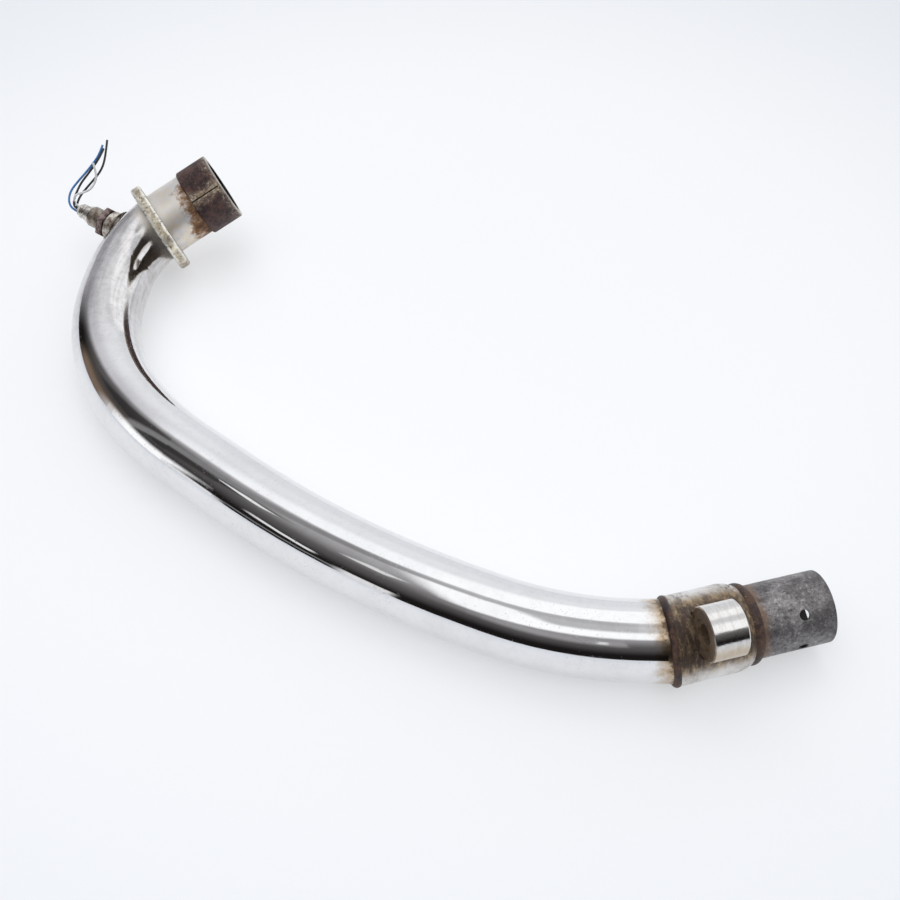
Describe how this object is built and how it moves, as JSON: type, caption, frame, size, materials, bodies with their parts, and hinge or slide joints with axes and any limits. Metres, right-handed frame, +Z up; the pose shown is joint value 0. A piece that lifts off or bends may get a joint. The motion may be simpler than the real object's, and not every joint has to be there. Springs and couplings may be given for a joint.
{
  "type": "motorcycle exhaust header",
  "caption": "Bent chromed header pipe with a loose stud flange and split collets at its head, an oxygen sensor, and a welded sleeve, mount boss and plain outlet stub.",
  "frame": {"origin": "on the table under the middle of the part's box, measured without the sensor wires", "axes": "+Z up from the table, +X towards the outlet end, +Y towards the head, as it comes to rest on its side"},
  "size_m": [0.4578, 0.4269, 0.0741],
  "materials": {
    "chrome_skin": "bright plated, pitted",
    "stub_steel": "dull, mottled",
    "rusted_steel": "rusted",
    "zinc_plate": "aged zinc plating",
    "stained_chrome": "heat stained",
    "weld": "dark weld bead",
    "boss_chrome": "bright plated",
    "bung_steel": "stained",
    "sensor_steel": "heat stained",
    "cap_steel": "bright crimped",
    "grommet": "pale",
    "wire_blue": "insulation",
    "wire_black": "insulation",
    "wire_white": "insulation"
  },
  "bodies": {
    "pipe": {"outer_pipe": "chrome_skin", "inner_pipe": "stub_steel", "front_spacer": "stub_steel", "mouth_ring": "rusted_steel", "collet_half_a": "rusted_steel", "collet_half_b": "rusted_steel", "sleeve": "stained_chrome", "knee_weld": "weld", "stub_weld": "weld", "mount_boss": "boss_chrome", "boss_weld_lower": "weld", "boss_weld_upper": "weld", "sensor_bung": "bung_steel", "bung_weld": "weld", "sensor_washer": "bung_steel", "sensor_body": "sensor_steel", "sensor_probe": "sensor_steel", "sensor_shell": "sensor_steel", "sensor_cap": "cap_steel", "sensor_grommet": "grommet", "wire_blue": "wire_blue", "wire_black_1": "wire_black", "wire_black_2": "wire_black", "wire_white": "wire_white"},
    "flange": {"flange": "zinc_plate"}
  },
  "joints": [
    {"name": "flange_slide", "type": "slide", "parent": "pipe", "child": "flange", "axis": [0.841, 0.386, 0.3791], "range_m": [0, 0.0225]}
  ]
}
